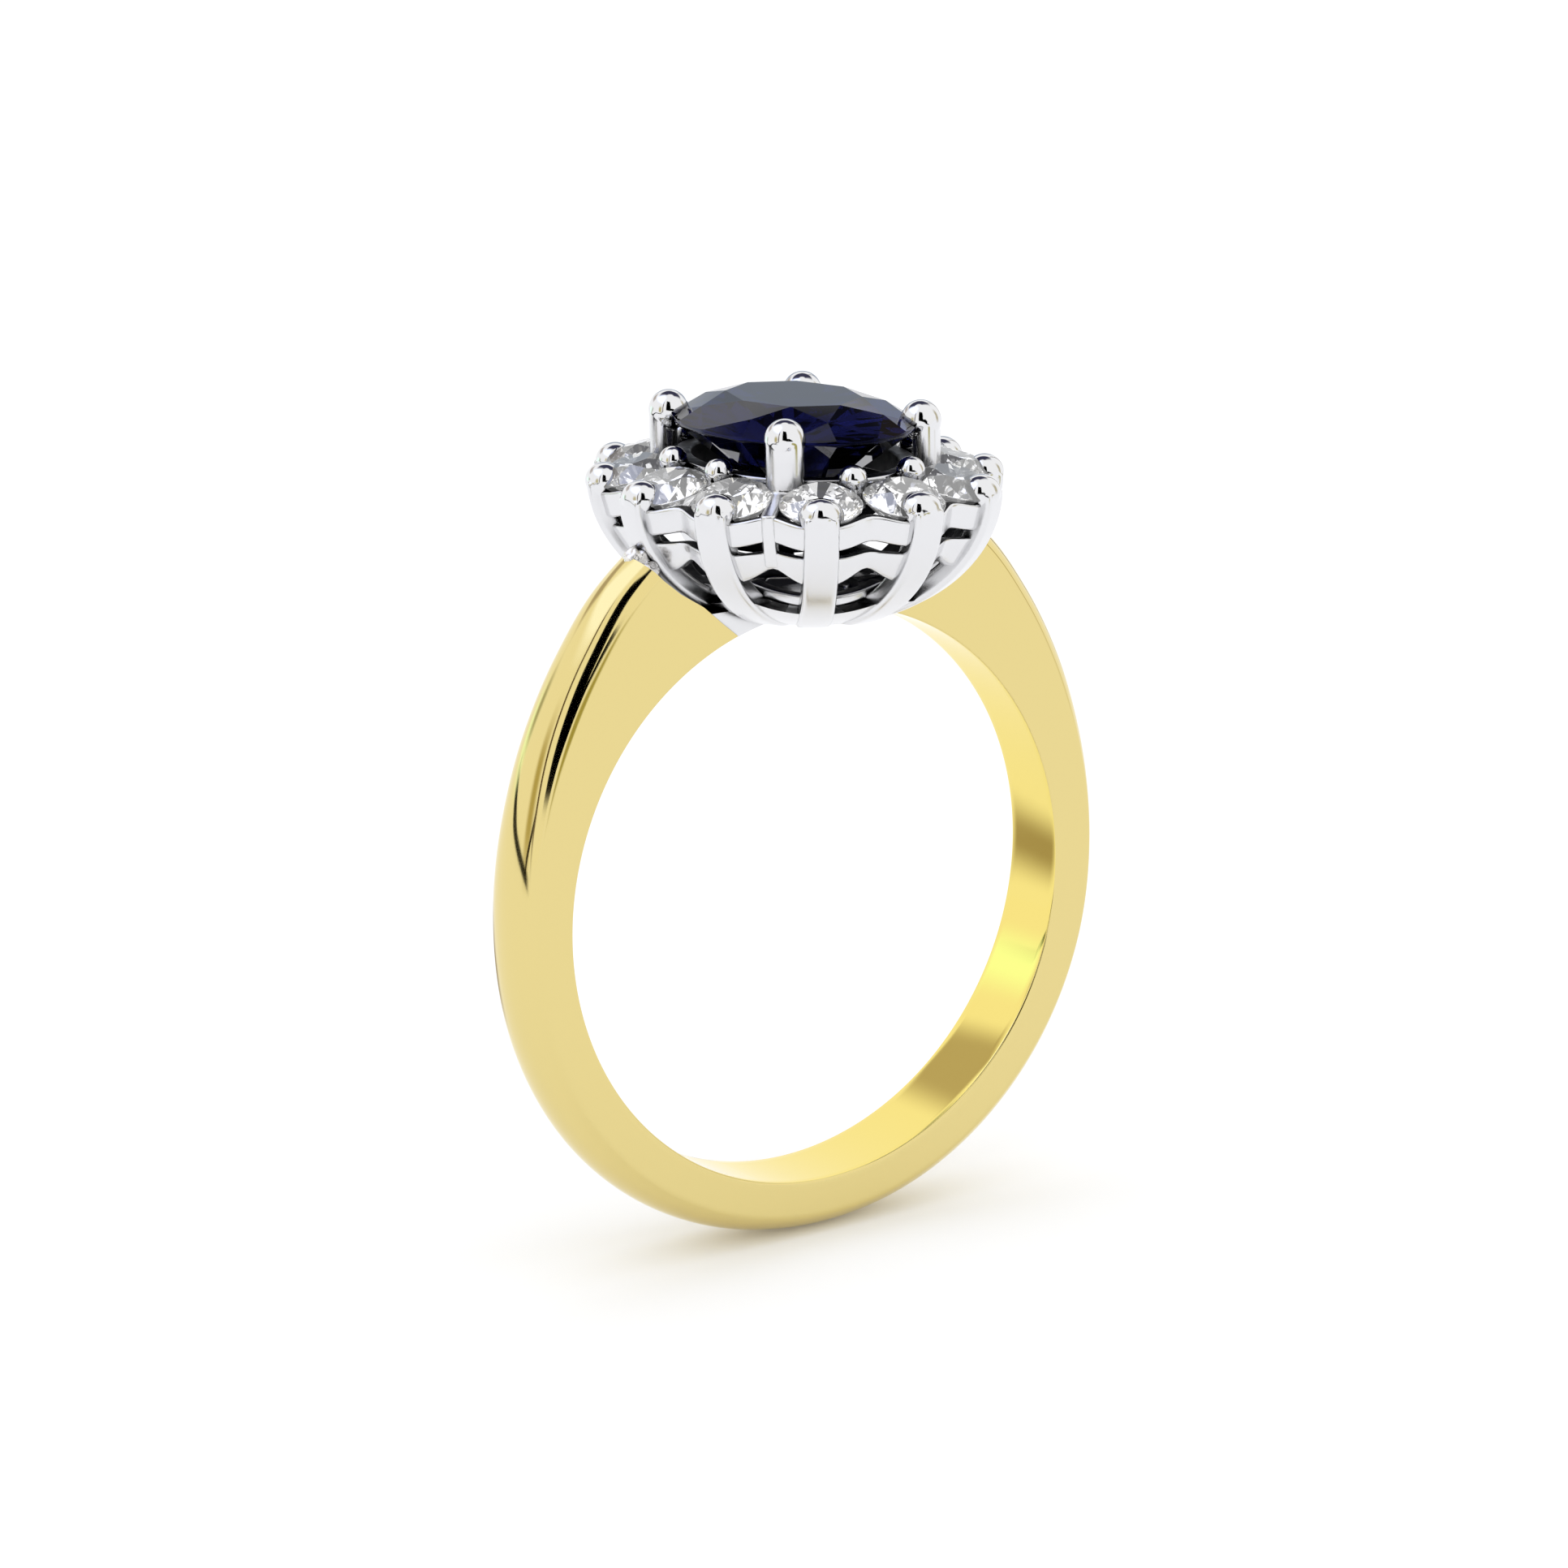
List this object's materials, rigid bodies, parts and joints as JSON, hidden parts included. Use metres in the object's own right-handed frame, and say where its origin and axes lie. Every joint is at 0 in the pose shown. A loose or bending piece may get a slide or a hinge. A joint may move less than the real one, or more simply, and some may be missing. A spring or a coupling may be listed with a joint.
{
  "type": "engagement ring",
  "caption": "Finger ring: tapering yellow shank under a white claw basket that holds an oval dark blue centre stone in a halo of round stones.",
  "frame": {"origin": "centre of the finger bore, half-way along its width", "axes": "+Y along the finger, +Z from the finger to the head and its centre stone, +X to the right shoulder"},
  "size_m": [0.0198, 0.013, 0.0241],
  "materials": {
    "yellow_gold": "mirror polished yellow gold",
    "white_gold": "rhodium-bright polished white gold",
    "white_solder": "rough white gold solder",
    "sapphire": "faceted dark blue sapphire",
    "diamond": "faceted colourless diamond"
  },
  "bodies": {
    "root": {"shank": "yellow_gold", "head_base": "white_gold", "lower_gallery_ring": "white_gold", "mid_gallery_rail": "white_gold", "upper_gallery_rail": "white_gold", "centre_seat_ring": "white_gold", "halo_claw_01": "white_gold", "halo_claw_02": "white_gold", "halo_claw_03": "white_gold", "halo_claw_04": "white_gold", "halo_claw_05": "white_gold", "halo_claw_06": "white_gold", "halo_claw_07": "white_gold", "halo_claw_08": "white_gold", "halo_claw_09": "white_gold", "halo_claw_10": "white_gold", "halo_claw_11": "white_gold", "halo_claw_12": "white_gold", "centre_claw_1": "white_gold", "centre_claw_2": "white_gold", "centre_claw_3": "white_gold", "centre_claw_4": "white_gold", "halo_bead_1": "white_gold", "halo_bead_2": "white_gold", "halo_bead_3": "white_gold", "halo_bead_4": "white_gold", "halo_bead_5": "white_gold", "halo_bead_6": "white_gold", "halo_bead_7": "white_gold", "halo_bead_8": "white_gold", "solder_joint_left": "white_solder", "solder_joint_right": "white_solder", "centre_sapphire": "sapphire", "halo_diamond_01": "diamond", "halo_diamond_02": "diamond", "halo_diamond_03": "diamond", "halo_diamond_04": "diamond", "halo_diamond_05": "diamond", "halo_diamond_06": "diamond", "halo_diamond_07": "diamond", "halo_diamond_08": "diamond", "halo_diamond_09": "diamond", "halo_diamond_10": "diamond", "halo_diamond_11": "diamond", "halo_diamond_12": "diamond"}
  },
  "joints": []
}
